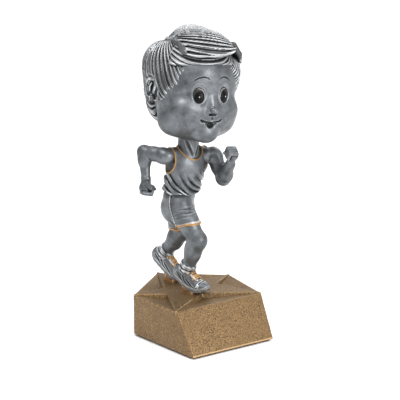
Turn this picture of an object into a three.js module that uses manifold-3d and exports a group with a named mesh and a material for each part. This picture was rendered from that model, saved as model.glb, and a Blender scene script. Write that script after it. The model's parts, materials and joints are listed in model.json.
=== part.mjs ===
// A cast-resin figure trophy: a running child in singlet and shorts on a five-sided block with a
// raised star. The head rides on a coil spring that stands in the neck, so it nods, tilts, turns
// and bounces. Millimetres, +Z up. The origin is the middle of the block's plan at the underside
// of the felt; the block's sloping front face looks along -Y, so the figure's right side is at -X.
import * as THREE from "three";
import { mergeVertices } from "three/addons/utils/BufferGeometryUtils.js";
import Module from "manifold-3d";

const wasm = await Module();
wasm.setup();

// ---- driving dimensions -------------------------------------------------------------------
const GAP = 0.3; // clearance left between pieces that are cut to each other

const FELT = { thick: 0.8, inset: 1.6 };
const BASE = {
  height: 17.0, // top of the block, under the star
  starThick: 1.4,
  frontTopX: 22.6, // the front face's upper corners
  frontTopY: -19.25,
  frontFootX: 21.3, // its lower corners, further forward
  frontFootY: -30.75,
  sideX: 26.0, // the two side corners
  sideY: 9.75,
  rearY: 30.75, // the rear corner, on the middle plane
};
const STAR_TOP = BASE.height + BASE.starThick;

// Facing directions, in degrees from -Y towards +X.
const FACING = { legs: 20, torso: 5, head: -5 };

const PELVIS = [-2.1, 10.1, 55.5];
const WAIST = [-1.7, 8.6, 63];
const CHEST = [-0.3, 5.6, 75.5];
const NECK = { foot: [-0.2, 5.2, 78], top: [0.1, 4.3, 90.5], footR: 5.0, topR: 4.6 };

// Limb centre lines with the radius at each joint.
const RIGHT_LEG = {
  points: [[-4.2, 4.2, 56], [-1.6, -5.0, 44], [-2.5, -2.2, 36.5], [-3.6, 1.2, 28.5]],
  radii: [5.0, 4.3, 3.8, 2.9],
};
const LEFT_LEG = {
  points: [[0.4, 13.0, 55], [2.0, 12.1, 43.6], [0.2, 17.4, 36.8], [-2.0, 22.9, 30.1]],
  radii: [4.7, 4.1, 3.8, 2.9],
};
const RIGHT_ARM = {
  points: [[-7.8, 5.6, 80.6], [-15.6, 16.2, 81.4], [-16.5, 13.5, 70.2]],
  radii: [4.1, 3.6, 2.4],
};
const LEFT_ARM = {
  points: [[8.2, 3.4, 79.6], [12.4, -2.8, 69.2], [11.8, -10.6, 77.6]],
  radii: [4.0, 3.5, 2.3],
};
const RIGHT_FIST = [-16.8, 12.8, 66.0];
const LEFT_FIST = [11.2, -12.6, 82.2];
const FIST_RADII = [2.9, 3.2, 3.4];

// Shoes, in the legs' own facing: x to the figure's left, y to the rear, z up.
const SHOE_WIDTH = 7.4;
const SOLE_THICK = 1.5;
const RIGHT_SHOE = {
  x: -2.6,
  underside: [[8.2, 26.4], [7.0, 25.0], [2.3, 21.5], [-2.2, 20.2], [-7.6, 20.8], [-9.7, 22.6]],
};
const LEFT_SHOE = {
  x: 6.0,
  underside: [[26.9, 29.4], [25.5, 27.9], [20.4, 23.7], [15.9, 21.0], [11.2, 20.2], [8.6, 21.6]],
};
const PIN = { radius: 0.8, foot: 7, rise: 4.6 }; // steel rods cast into the shoes and the block

// Head, spring and what holds it.
const HEAD = [2.0, 5.2, 112.0];
const HEAD_RADII = [18.4, 18.2, 21.4];
const JAW = [1.8, 1.6, 99.6];
const JAW_RADII = [16.4, 14.6, 11.6];
const EYE = { azimuth: 20.5, height: -4, radii: [2.7, 1.6, 3.6] };
const PIVOT = [0.1, 4.3, 94.0]; // the spring's bending centre
const POCKET = { radius: 6.6, roof: 98.4 }; // the hollow under the head that the neck enters
const NECK_WELL = { radius: 3.7, floor: 83.0 };
const SPRING = { radius: 2.45, wire: 0.4, foot: 85.2, top: 101.2, turns: 9 };
const CUP = { radius: 3.6, low: 98.9, high: 102.4, wall: 0.5, roof: 0.9 };
const PLUG = { radius: 6.0, low: 98.9, high: 104.2, wall: 1.0, roof: 0.9 };

// ---- materials ----------------------------------------------------------------------------
const material = (color, roughness, metalness) =>
  new THREE.MeshStandardMaterial({ color, roughness, metalness });
const pewter = material(0x8b8f92, 0.42, 0.75);
const darkPewter = material(0x5c6064, 0.5, 0.7);
const gold = material(0xb98a4a, 0.38, 0.8);
const bronze = material(0x9a7b4f, 0.5, 0.65);
const steel = material(0xb8bbbf, 0.3, 1.0);
const plastic = material(0x2b2d30, 0.55, 0.0);
const felt = material(0x1d1f20, 0.95, 0.0);
const eyeBlack = material(0x111214, 0.15, 0.1);

// ---- solids -------------------------------------------------------------------------------
function solidOf(geometry) {
  const g = geometry.index ? geometry.toNonIndexed() : geometry.clone();
  for (const name of Object.keys(g.attributes)) if (name !== "position") g.deleteAttribute(name);
  const merged = mergeVertices(g, 1e-4);
  const triVerts = new Uint32Array(merged.index.array);
  const vertProperties = merged.attributes.position.array;
  return new wasm.Manifold(new wasm.Mesh({ numProp: 3, vertProperties, triVerts }));
}

function geometryOf(solid) {
  const mesh = solid.getMesh();
  const geometry = new THREE.BufferGeometry();
  geometry.setAttribute("position", new THREE.BufferAttribute(mesh.vertProperties, 3));
  geometry.setIndex(new THREE.BufferAttribute(mesh.triVerts, 1));
  geometry.computeVertexNormals();
  return geometry;
}

const union = (solids) => solids.reduce((a, b) => a.add(b));
const cut = (solid, ...tools) => tools.reduce((a, b) => a.subtract(b), solid);
const shift = ([x, y, z], dx, dy, dz) => [x + dx, y + dy, z + dz];

// The largest body of a cut solid, without the slivers that a cut can leave beside it.
function main(solid) {
  return solid.decompose().reduce((a, b) => (b.volume() > a.volume() ? b : a));
}

function turned(geometry, facing) {
  return geometry.rotateZ(THREE.MathUtils.degToRad(facing));
}

// A lathe-turned round from a to b: profile points are (radius, distance along the axis).
function roundBetween(a, b, profile, sides) {
  const from = new THREE.Vector3(...a);
  const along = new THREE.Vector3(...b).sub(from);
  const lathe = new THREE.LatheGeometry(profile, sides);
  const turn = new THREE.Quaternion().setFromUnitVectors(
    new THREE.Vector3(0, 1, 0),
    along.clone().normalize(),
  );
  lathe.applyQuaternion(turn).translate(from.x, from.y, from.z);
  return solidOf(lathe);
}

function capsule(a, b, ra, rb, sides = 11) {
  const length = new THREE.Vector3(...a).distanceTo(new THREE.Vector3(...b));
  const profile = [];
  const steps = sides > 6 ? 2 : 1;
  for (let i = 0; i <= steps; i++) {
    const t = (i / steps) * (Math.PI / 2);
    profile.push(new THREE.Vector2(ra * Math.sin(t), -ra * Math.cos(t)));
  }
  for (let i = 0; i <= steps; i++) {
    const t = (i / steps) * (Math.PI / 2);
    profile.push(new THREE.Vector2(rb * Math.cos(t), length + rb * Math.sin(t)));
  }
  profile[0].x = 0;
  profile[profile.length - 1].x = 0;
  return roundBetween(a, b, profile, sides);
}

function cylinder(a, b, ra, rb = ra, sides = 18) {
  const length = new THREE.Vector3(...a).distanceTo(new THREE.Vector3(...b));
  const profile = [
    new THREE.Vector2(0, 0),
    new THREE.Vector2(ra, 0),
    new THREE.Vector2(rb, length),
    new THREE.Vector2(0, length),
  ];
  return roundBetween(a, b, profile, sides);
}

function limb({ points, radii }, grow = 0, first = 0, last = points.length - 1) {
  const parts = [];
  for (let i = first; i < last; i++)
    parts.push(capsule(points[i], points[i + 1], radii[i] + grow, radii[i + 1] + grow));
  return union(parts);
}

function ellipsoid(centre, [rx, ry, rz], facing = 0, grow = 0) {
  const small = Math.max(rx, ry, rz) < 6;
  const g = new THREE.SphereGeometry(1, small ? 10 : 14, small ? 7 : 9);
  g.scale(rx + grow, ry + grow, rz + grow);
  return solidOf(turned(g, facing).translate(...centre));
}

function box(low, high, facing = 0) {
  const size = high.map((h, i) => h - low[i]);
  const g = new THREE.BoxGeometry(...size);
  g.translate(...low.map((l, i) => l + size[i] / 2));
  return solidOf(turned(g, facing));
}

function plate(outline, z0, z1) {
  const shape = new THREE.Shape(outline.map(([x, y]) => new THREE.Vector2(x, y)));
  const g = new THREE.ExtrudeGeometry(shape, { depth: z1 - z0, bevelEnabled: false });
  return solidOf(g.translate(0, 0, z0));
}

// A side outline in (y, z), as wide as x0 to x1.
function sideways(outline, x0, x1, facing = 0) {
  const shape = new THREE.Shape(outline.map(([y, z]) => new THREE.Vector2(y, z)));
  const g = new THREE.ExtrudeGeometry(shape, { depth: x1 - x0, bevelEnabled: false });
  g.translate(0, 0, x0).applyMatrix4(
    new THREE.Matrix4().set(0, 0, 1, 0, 1, 0, 0, 0, 0, 1, 0, 0, 0, 0, 0, 1),
  );
  return solidOf(turned(g, facing));
}

// ---- base ---------------------------------------------------------------------------------
const FRONT_RUN = BASE.frontTopY - BASE.frontFootY; // how far the front face leans back

function baseOutline(inset = 0) {
  const side = (BASE.sideX - inset) / BASE.sideX;
  return [
    [-BASE.frontFootX * side, BASE.frontFootY + inset],
    [BASE.frontFootX * side, BASE.frontFootY + inset],
    [BASE.sideX * side, BASE.sideY - inset * 0.4],
    [0, BASE.rearY - inset * 1.3],
    [-BASE.sideX * side, BASE.sideY - inset * 0.4],
  ];
}

// Everything in front of the sloping front face.
function frontCutter() {
  const reach = 8;
  const z0 = FELT.thick;
  const z1 = STAR_TOP;
  const slope = FRONT_RUN / (z1 - z0);
  const yAt = (z) => BASE.frontFootY + slope * (z - z0);
  const far = BASE.frontFootY - reach;
  const outline = [[far, z0 - 1], [yAt(z0 - 1), z0 - 1], [yAt(z1 + 1), z1 + 1], [far, z1 + 1]];
  return sideways(outline, -BASE.sideX - reach, BASE.sideX + reach);
}

function starOutline() {
  const tips = [
    [-BASE.frontTopX, BASE.frontTopY],
    [BASE.frontTopX, BASE.frontTopY],
    [BASE.sideX, BASE.sideY],
    [0, BASE.rearY],
    [-BASE.sideX, BASE.sideY],
  ];
  const outline = [];
  for (let i = 0; i < 5; i++) {
    outline.push(tips[i]);
    // The notch after a tip is where two of the star's long lines cross.
    const [a, b] = [tips[i], tips[(i + 2) % 5]];
    const [c, d] = [tips[(i + 1) % 5], tips[(i + 4) % 5]];
    outline.push(crossing(a, b, c, d));
  }
  return outline;
}

function crossing([ax, ay], [bx, by], [cx, cy], [dx, dy]) {
  const [ux, uy, vx, vy] = [bx - ax, by - ay, dx - cx, dy - cy];
  const t = ((cx - ax) * vy - (cy - ay) * vx) / (ux * vy - uy * vx);
  return [ax + t * ux, ay + t * uy];
}

// ---- legs and shoes -----------------------------------------------------------------------
function soleOutline(shoe, low, high) {
  const under = shoe.underside;
  const lowLine = under.map(([y, z]) => [y, z + low]);
  const highLine = under.map(([y, z]) => [y, z + high]).reverse();
  return [...lowLine, ...highLine];
}

// The shoe's plan as an upright prism, from the heel to the toe.
function shoePrism(shoe, grow = 0) {
  const ys = shoe.underside.map(([y]) => y);
  const [heel, toe] = [Math.max(...ys), Math.min(...ys)];
  const half = SHOE_WIDTH / 2 + grow;
  const curve = new THREE.CatmullRomCurve3(
    [
      [0, toe - grow],
      [half * 0.82, toe + 2.2],
      [half, toe + 6],
      [half * 0.78, toe + 11],
      [half * 0.8, heel - 2],
      [0, heel + grow],
      [-half * 0.8, heel - 2],
      [-half * 0.78, toe + 11],
      [-half, toe + 6],
      [-half * 0.82, toe + 2.2],
    ].map(([x, y]) => new THREE.Vector3(x + shoe.x, y, 0)),
    true,
  );
  const outline = curve.getPoints(14).slice(0, -1).map((p) => new THREE.Vector2(p.x, p.y));
  const g = new THREE.ExtrudeGeometry(new THREE.Shape(outline), {
    depth: 30,
    bevelEnabled: false,
  });
  return solidOf(turned(g.translate(0, 0, STAR_TOP - 2), FACING.legs));
}

function soleBand(shoe, low, high) {
  const half = SHOE_WIDTH;
  return sideways(soleOutline(shoe, low, high), shoe.x - half, shoe.x + half, FACING.legs);
}

const sole = (shoe) => shoePrism(shoe).intersect(soleBand(shoe, 0, SOLE_THICK));

// A point over the shoe: t runs from heel (0) to toe (1), lift is the height over the underside.
function overSole(shoe, t, lift, x = 0) {
  const u = t * (shoe.underside.length - 1);
  const i = Math.min(Math.floor(u), shoe.underside.length - 2);
  const [a, b] = [shoe.underside[i], shoe.underside[i + 1]];
  const f = u - i;
  const p = new THREE.Vector3(shoe.x + x, a[0] + f * (b[0] - a[0]), a[1] + f * (b[1] - a[1]) + lift);
  return p.applyAxisAngle(new THREE.Vector3(0, 0, 1), THREE.MathUtils.degToRad(FACING.legs)).toArray();
}

function shoeForm(shoe, ankle, grow = 0) {
  const instep = overSole(shoe, 0.5, 4.4);
  return union([
    capsule(overSole(shoe, 0.22, 3.4), instep, 3.2 + grow, 3.0 + grow),
    capsule(instep, overSole(shoe, 0.8, 2.2), 3.0 + grow, 2.5 + grow),
    capsule(overSole(shoe, 0.22, 3.4), ankle, 3.2 + grow, 3.5 + grow),
  ]);
}

function upper(shoe, ankle) {
  const below = soleBand(shoe, -12, SOLE_THICK + GAP);
  const body = shoeForm(shoe, ankle).intersect(shoePrism(shoe, -0.1));
  return cut(body, below);
}

// Three crossings of the lace and the tongue line that they lie on.
function laces(shoe, grow = 0) {
  const wire = 0.5 + grow;
  const rows = [0.42, 0.53, 0.64];
  const lift = [7.1, 6.6, 5.5];
  const crown = rows.map((t, i) => overSole(shoe, t, lift[i]));
  const parts = [];
  rows.forEach((t, i) => {
    for (const side of [-1, 1])
      parts.push(capsule(crown[i], overSole(shoe, t - 0.03, lift[i] - 1.4, side * 2.4), wire, wire, 5));
    if (i) parts.push(capsule(crown[i - 1], crown[i], wire, wire, 5));
  });
  return union(parts);
}

function sock(leg, grow = 0) {
  const [shin, ankle] = leg.points.slice(-2);
  const at = (t) => shin.map((v, i) => v + t * (ankle[i] - v));
  const r = leg.radii.at(-1);
  return cylinder(at(0.55), at(1), r + 0.9 + grow, r + 0.6 + grow, 14);
}

// The gold support between a shoe and the star, cast round the pin.
function wedge(shoe, t0, t1, sideX) {
  const [y0, y1] = [t0, t1];
  const foot = sideways(
    [[y0, STAR_TOP], [y1, STAR_TOP], [y1 + 0.6, 25], [y0 - 0.6, 25]],
    shoe.x - 2.6,
    shoe.x + sideX,
    FACING.legs,
  );
  return cut(foot, soleBand(shoe, -GAP, 20));
}

function pinAt([x, y, top], grow = 0) {
  return cylinder([x, y, PIN.foot - grow], [x, y, top + grow], PIN.radius + grow, PIN.radius + grow, 8);
}

// ---- clothes and body ---------------------------------------------------------------------
function shortsForm(grow = 0) {
  return union([
    ellipsoid(PELVIS, [8.3, 7.4, 8.2], FACING.legs, grow),
    ellipsoid(shift(WAIST, 0, 0.6, -1.6), [7.9, 6.6, 4.2], FACING.legs, grow),
    cylinder([-3.9, 6.6, 57.4], [-3.1, -0.9, 49.6], 6.3 + grow, 6.2 + grow),
    cylinder([0.3, 13.0, 57], [1.1, 14.2, 47.6], 6.2 + grow, 6.0 + grow),
  ]);
}

function torsoForm(grow = 0) {
  return union([
    ellipsoid(CHEST, [10.2, 7.2, 9.4], FACING.torso, grow),
    ellipsoid(WAIST.map((v, i) => v + 0.45 * (CHEST[i] - v)), [9.0, 7.2, 9.4], FACING.torso, grow),
    ellipsoid(shift(WAIST, 0, 0, 0.6), [8.9, 7.6, 4.4], FACING.legs, grow),
    capsule([-7.2, 6.2, 81], [7.2, 4.6, 80], 3.4 + grow, 3.4 + grow),
  ]);
}

// The scooped region of the neckline, low at the front.
const necklineScoop = (grow = 0) => ellipsoid([0.2, 2.0, 85.6], [5.8, 7.4, 6.6], FACING.torso, grow);
const armhole = (x, y, z, grow = 0) => ellipsoid([x, y, z], [3.4, 4.9, 6.4], FACING.torso, grow);
const rightArmhole = (grow = 0) => armhole(-10.2, 6.2, 79.6, grow);
const leftArmhole = (grow = 0) => armhole(10.4, 4.4, 78.6, grow);

const neckForm = (grow = 0) =>
  capsule(NECK.foot, NECK.top, NECK.footR + grow, NECK.topR + grow, 14).intersect(
    box([-12, -12, 70], [12, 20, NECK.top[2] + grow]),
  );

function neck() {
  const skin = torsoForm(-0.5).intersect(necklineScoop(-GAP));
  const well = cylinder([...PIVOT.slice(0, 2), NECK_WELL.floor], [...PIVOT.slice(0, 2), 92], NECK_WELL.radius);
  return main(cut(neckForm().add(skin), well));
}

function singlet() {
  return main(
    cut(
      torsoForm(),
      necklineScoop(),
      neckForm(GAP),
      rightArmhole(),
      leftArmhole(),
      limb(RIGHT_ARM, GAP, 0, 1),
      limb(LEFT_ARM, GAP, 0, 1),
      shortsForm(GAP).intersect(box([-14, -8, 40], [12, 24, 62.4])),
    ),
  );
}

function shorts() {
  const waistband = box([-16, -10, 40], [14, 30, 62.4 - GAP]);
  return main(
    cut(shortsForm().intersect(waistband), limb(RIGHT_LEG, GAP, 0, 2), limb(LEFT_LEG, GAP, 0, 2)),
  );
}

// A raised band on a surface: the skin of a form, inside a region.
const band = (form, region, ...tools) => main(cut(form(0.85).intersect(region), form(GAP), ...tools));
const ring = (region) => region(0.9).subtract(region(-0.1));

const hand = (fist, grow = 0) => ellipsoid(fist, FIST_RADII, FACING.torso, grow);

function armSolid(arm, hole, fist) {
  const seat = torsoForm(-0.7).intersect(hole(-GAP));
  return main(cut(limb(arm).add(seat), necklineScoop(), neckForm(GAP), hand(fist, GAP)));
}

// ---- head ---------------------------------------------------------------------------------
function headForm(grow = 0) {
  return union([
    ellipsoid(HEAD, HEAD_RADII, FACING.head, grow),
    ellipsoid(JAW, JAW_RADII, FACING.head, grow),
    ellipsoid(shift(JAW, -0.4, -6.2, -3.2), [9.5, 7.4, 7.6], FACING.head, grow),
  ]);
}

function eyeAt(side, grow = 0) {
  const turn = FACING.head + side * EYE.azimuth;
  const a = THREE.MathUtils.degToRad(turn);
  const reach = HEAD_RADII[1] - 0.5;
  const middle = shift(HEAD, reach * Math.sin(a), -reach * Math.cos(a), EYE.height);
  return ellipsoid(middle, EYE.radii, turn, grow);
}

function earAt(side, grow = 0) {
  const centre = [HEAD[0] + side * 18.2, HEAD[1] + 5.9 - side * 1.1, HEAD[2] - 2.9 - side * 1.5];
  return ellipsoid(centre, [1.9, 3.2, 4.8], FACING.head - side * 18, grow);
}

// Swept hair: a cap over the crown, a lock over the brow and longer sides.
function hairForm() {
  const cap = ellipsoid(shift(HEAD, -0.8, 3.4, 2.0), [20.2, 20.4, 21.8], FACING.head);
  const crown = ellipsoid(shift(HEAD, -2.5, 4, 15.2), [12.0, 11.0, 12.8], FACING.head);
  const sweep = [[-8.0, -2.6, 126.5], [0, -7.8, 127.5], [10, -8.2, 128.5], [18.4, -3.6, 123.5]];
  const fringe = limb({ points: sweep, radii: [4.0, 4.8, 5.0, 3.2] });
  const nape = ellipsoid(shift(HEAD, -0.4, 9.2, -6.5), [16.6, 12.2, 12.0], FACING.head);
  return union([cap, crown, fringe, nape]);
}

function faceOpening() {
  const low = [-17.4, -40, 80];
  const high = [17.2, 2.0, 124];
  const g = box(low, high);
  return g.rotate([0, 0, FACING.head]).translate([HEAD[0], HEAD[1] - 4, 0]);
}

function headSolid() {
  const [px, py] = PIVOT;
  const pocket = cylinder([px, py, 70], [px, py, POCKET.roof], POCKET.radius);
  const seat = cylinder([px, py, 90], [px, py, PLUG.high + GAP], PLUG.radius + GAP);
  return main(
    cut(headForm(), pocket, seat, eyeAt(-1, GAP), eyeAt(1, GAP), earAt(-1, GAP), earAt(1, GAP)),
  );
}

function springCoil() {
  const [px, py] = PIVOT;
  const points = [];
  const perTurn = 11;
  const pitch = (SPRING.top - SPRING.foot) / SPRING.turns;
  for (let i = 0; i <= SPRING.turns * perTurn; i++) {
    const a = (i / perTurn) * 2 * Math.PI;
    const z = SPRING.foot + (i / perTurn) * pitch;
    const [x, y] = [px + SPRING.radius * Math.cos(a), py + SPRING.radius * Math.sin(a)];
    points.push(new THREE.Vector3(x, y, z));
  }
  const path = new THREE.CatmullRomCurve3(points);
  const section = new THREE.Shape();
  section.absarc(0, 0, SPRING.wire, 0, 2 * Math.PI, false);
  const g = new THREE.ExtrudeGeometry(section, {
    steps: SPRING.turns * perTurn,
    curveSegments: 2,
    extrudePath: path,
    bevelEnabled: false,
  });
  return solidOf(g);
}

function tubeRing([px, py], outer, inner, low, high) {
  return cylinder([px, py, low], [px, py, high], outer).subtract(
    cylinder([px, py, low - 1], [px, py, high + 1], inner),
  );
}

// An upturned cup: open below, closed by a roof.
function cap([px, py], { radius, low, high, wall, roof }) {
  return cylinder([px, py, low], [px, py, high], radius).subtract(
    cylinder([px, py, low - 1], [px, py, high - roof], radius - wall),
  );
}

// ---- assembly -----------------------------------------------------------------------------
const trophy = new THREE.Group();
const base = new THREE.Group();
const figure = new THREE.Group();
const head = new THREE.Group();
figure.position.set(...PELVIS);
head.position.set(...PIVOT);
trophy.add(base, figure, head);

function add(group, name, solid, look) {
  const geometry = geometryOf(solid);
  geometry.translate(-group.position.x, -group.position.y, -group.position.z);
  const mesh = new THREE.Mesh(geometry, look);
  mesh.name = name;
  group.add(mesh);
}

function buildBase() {
  const rightPin = overSole(RIGHT_SHOE, 0.5, PIN.rise);
  const leftPin = overSole(LEFT_SHOE, 0.62, PIN.rise);
  const holes = [pinAt(rightPin, GAP), pinAt(leftPin, GAP)];
  const front = frontCutter();
  const block = cut(plate(baseOutline(), FELT.thick, BASE.height), front, ...holes);
  add(base, "base_felt", plate(baseOutline(FELT.inset), 0, FELT.thick), felt);
  add(base, "base_block", block, bronze);
  add(base, "base_star", cut(plate(starOutline(), BASE.height, STAR_TOP), front, ...holes), bronze);
  add(base, "right_foot_pin", pinAt(rightPin), steel);
  add(base, "left_foot_pin", pinAt(leftPin), steel);
  add(base, "right_foot_wedge", cut(wedge(RIGHT_SHOE, 4.0, -4.2, 1.8), ...holes), gold);
  add(base, "left_foot_wedge", cut(wedge(LEFT_SHOE, 19.6, 12.6, 1.6), ...holes), gold);
  return holes;
}

function buildLeg(side, leg, shoe, holes) {
  const ankle = leg.points.at(-1);
  const cuff = cut(sock(leg), laces(shoe, GAP));
  const shin = cut(limb(leg, 0, 0, 3), sock(leg, GAP), shoeForm(shoe, ankle, GAP));
  add(figure, side + "_sole", cut(sole(shoe), ...holes), darkPewter);
  const vamp = cut(upper(shoe, ankle), laces(shoe, GAP), sock(leg, GAP), ...holes);
  add(figure, side + "_shoe", main(vamp), pewter);
  add(figure, side + "_laces", laces(shoe), gold);
  add(figure, side + "_sock", cuff, pewter);
  add(figure, side + "_leg", main(shin), pewter);
}

function buildClothes() {
  const rightHem = [[-3.12, -0.69, 49.82], [-3.29, 0.9, 51.47]];
  const leftHem = [[1.07, 14.16, 47.9], [0.93, 13.95, 49.5]];
  add(figure, "shorts", shorts(), pewter);
  const thigh = (leg, grow) => limb(leg, grow, 0, 1);
  const hemTrim = (leg, [a, b], ...tools) =>
    band(shortsForm, cylinder(a, b, 9).intersect(thigh(leg, 3.2)), limb(leg, GAP), ...tools);
  add(figure, "right_hem_trim", hemTrim(RIGHT_LEG, rightHem), gold);
  add(figure, "left_hem_trim", hemTrim(LEFT_LEG, leftHem, thigh(RIGHT_LEG, 3.2 + GAP)), gold);
  add(figure, "singlet", singlet(), pewter);
  const arms = [limb(RIGHT_ARM, GAP, 0, 1), limb(LEFT_ARM, GAP, 0, 1)];
  add(figure, "neckline_trim", band(torsoForm, ring(necklineScoop), neckForm(GAP), ...arms), gold);
  add(figure, "right_armhole_trim", band(torsoForm, ring(rightArmhole), ...arms), gold);
  add(figure, "left_armhole_trim", band(torsoForm, ring(leftArmhole), ...arms), gold);
}

function buildUpperBody() {
  add(figure, "neck", neck(), pewter);
  add(figure, "right_arm", armSolid(RIGHT_ARM, rightArmhole, RIGHT_FIST), pewter);
  add(figure, "left_arm", armSolid(LEFT_ARM, leftArmhole, LEFT_FIST), pewter);
  add(figure, "right_hand", hand(RIGHT_FIST), pewter);
  add(figure, "left_hand", hand(LEFT_FIST), pewter);
}

function buildHead() {
  const at = PIVOT.slice(0, 2);
  add(head, "neck_bush", tubeRing(at, NECK_WELL.radius - GAP, SPRING.radius + 0.6, 84, 88), plastic);
  add(head, "neck_spring", springCoil(), steel);
  add(head, "spring_cup", cap(at, CUP), steel);
  add(head, "head_plug", cap(at, PLUG), plastic);
  add(head, "head", headSolid(), pewter);
  const scalp = cut(hairForm(), headForm(GAP), faceOpening(), earAt(-1, GAP), earAt(1, GAP));
  add(head, "hair", main(scalp), pewter);
  for (const [name, side] of [["right", -1], ["left", 1]]) {
    add(head, name + "_ear", earAt(side), pewter);
    add(head, name + "_eye", eyeAt(side), eyeBlack);
  }
}

const pinHoles = buildBase();
buildLeg("right", RIGHT_LEG, RIGHT_SHOE, pinHoles);
buildLeg("left", LEFT_LEG, LEFT_SHOE, pinHoles);
buildClothes();
buildUpperBody();
buildHead();

export default trophy;
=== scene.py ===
"""A spring-head runner trophy: sculpted pewter figure with gold trim on a bronze star block.

The CAD nodes give every place. The figure's castings are sculpted here as signed distances on
grids, in millimetres, meshed with OpenVDB, and shaded by how deep each point lies in the relief.
"""
import json
import math

import bpy
import numpy as np
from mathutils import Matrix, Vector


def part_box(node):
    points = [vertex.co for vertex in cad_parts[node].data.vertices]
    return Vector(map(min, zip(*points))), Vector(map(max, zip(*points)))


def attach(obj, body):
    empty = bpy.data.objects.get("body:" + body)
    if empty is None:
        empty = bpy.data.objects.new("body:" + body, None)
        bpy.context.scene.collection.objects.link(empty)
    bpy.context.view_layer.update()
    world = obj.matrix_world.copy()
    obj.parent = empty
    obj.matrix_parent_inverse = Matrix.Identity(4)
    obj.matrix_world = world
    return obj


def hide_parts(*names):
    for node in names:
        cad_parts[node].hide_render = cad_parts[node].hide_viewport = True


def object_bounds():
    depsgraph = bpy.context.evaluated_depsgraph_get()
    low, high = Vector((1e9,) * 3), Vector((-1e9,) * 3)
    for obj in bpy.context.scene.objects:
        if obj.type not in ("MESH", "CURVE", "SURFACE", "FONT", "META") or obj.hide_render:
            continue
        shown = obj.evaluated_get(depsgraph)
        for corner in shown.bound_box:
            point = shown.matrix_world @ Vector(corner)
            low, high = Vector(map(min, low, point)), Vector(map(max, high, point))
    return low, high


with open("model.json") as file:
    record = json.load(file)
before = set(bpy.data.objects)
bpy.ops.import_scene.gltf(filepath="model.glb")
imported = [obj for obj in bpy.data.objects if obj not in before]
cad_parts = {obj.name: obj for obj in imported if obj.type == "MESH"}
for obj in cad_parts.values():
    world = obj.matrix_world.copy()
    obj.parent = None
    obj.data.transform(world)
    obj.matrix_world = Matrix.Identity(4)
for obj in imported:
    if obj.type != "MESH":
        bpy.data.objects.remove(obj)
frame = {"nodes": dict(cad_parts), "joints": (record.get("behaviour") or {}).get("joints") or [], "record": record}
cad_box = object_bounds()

import openvdb as vdb
from mathutils import Vector

MM = 0.001
COARSE = 1.0


# ---- places, in millimetres, from the CAD frame ---------------------------------------------
def low(node):
    return np.array(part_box(node)[0]) / MM


def high(node):
    return np.array(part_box(node)[1]) / MM


def at(node, fx, fy, fz):
    """The point at these fractions of a node's box."""
    a, b = low(node), high(node)
    return a + (b - a) * np.array([fx, fy, fz])


def rotation(yaw=0.0, pitch=0.0, roll=0.0):
    a, b, c = (math.radians(v) for v in (yaw, pitch, roll))
    rz = np.array([[math.cos(a), -math.sin(a), 0], [math.sin(a), math.cos(a), 0], [0, 0, 1]])
    rx = np.array([[1, 0, 0], [0, math.cos(b), -math.sin(b)], [0, math.sin(b), math.cos(b)]])
    ry = np.array([[math.cos(c), 0, math.sin(c)], [0, 1, 0], [-math.sin(c), 0, math.cos(c)]])
    return rz @ rx @ ry


def unit(v):
    v = np.array(v, float)
    return v / np.linalg.norm(v)


PIVOT = np.array(next(j for j in frame["joints"] if j["name"] == "head_nod")["pos_m"]) / MM
HEAD_TURN = rotation(-3.3, -8.6, 4.8)
HEAD_AT = PIVOT + np.array([2.7, 0.7, 14.5])


# ---- signed distances -----------------------------------------------------------------------
def smooth_min(a, b, k):
    if k <= 0:
        return np.minimum(a, b)
    h = np.clip(0.5 + 0.5 * (b - a) / k, 0, 1)
    return b + (a - b) * h - k * h * (1 - h)


def smooth_max(a, b, k):
    return -smooth_min(-a, -b, k)


class Blob:
    """An ellipsoid, optionally turned."""

    def __init__(self, centre, radii, turn=None):
        self.c = np.array(centre, np.float32)
        self.r = np.array(radii if np.ndim(radii) else [radii] * 3, np.float32)
        self.turn = turn
        reach = self.r if turn is None else np.full(3, self.r.max())
        self.low, self.high = self.c - reach, self.c + reach

    def __call__(self, X, Y, Z):
        x, y, z = X - self.c[0], Y - self.c[1], Z - self.c[2]
        if self.turn is not None:
            m = self.turn.astype(np.float32)
            x, y, z = (m[0, i] * x + m[1, i] * y + m[2, i] * z for i in range(3))
        rx, ry, rz = self.r
        k0 = np.sqrt((x / rx) ** 2 + (y / ry) ** 2 + (z / rz) ** 2)
        k1 = np.sqrt((x / rx**2) ** 2 + (y / ry**2) ** 2 + (z / rz**2) ** 2)
        return k0 * (k0 - 1) / np.maximum(k1, 1e-6)


class Bone:
    """A round-ended cone between two points."""

    def __init__(self, a, b, ra, rb=None):
        self.a, self.b = np.array(a, np.float32), np.array(b, np.float32)
        self.ra, self.rb = ra, ra if rb is None else rb
        reach = max(self.ra, self.rb)
        self.low = np.minimum(self.a, self.b) - reach
        self.high = np.maximum(self.a, self.b) + reach

    def __call__(self, X, Y, Z):
        ba = self.b - self.a
        x, y, z = X - self.a[0], Y - self.a[1], Z - self.a[2]
        h = np.clip((x * ba[0] + y * ba[1] + z * ba[2]) / max(float(ba @ ba), 1e-9), 0, 1)
        d = np.sqrt((x - ba[0] * h) ** 2 + (y - ba[1] * h) ** 2 + (z - ba[2] * h) ** 2)
        return d - (self.ra + (self.rb - self.ra) * h)


class Chain:
    """Bones along a list of points."""

    def __init__(self, points, radii, k=0.0):
        radii = radii if np.ndim(radii) else [radii] * len(points)
        pairs = zip(points[:-1], points[1:], radii[:-1], radii[1:])
        self.bones = [Bone(a, b, ra, rb) for a, b, ra, rb in pairs]
        self.k = k
        self.low = np.min([b.low for b in self.bones], 0)
        self.high = np.max([b.high for b in self.bones], 0)

    def __call__(self, X, Y, Z):
        d = self.bones[0](X, Y, Z)
        for bone in self.bones[1:]:
            d = smooth_min(d, bone(X, Y, Z), self.k)
        return d


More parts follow.
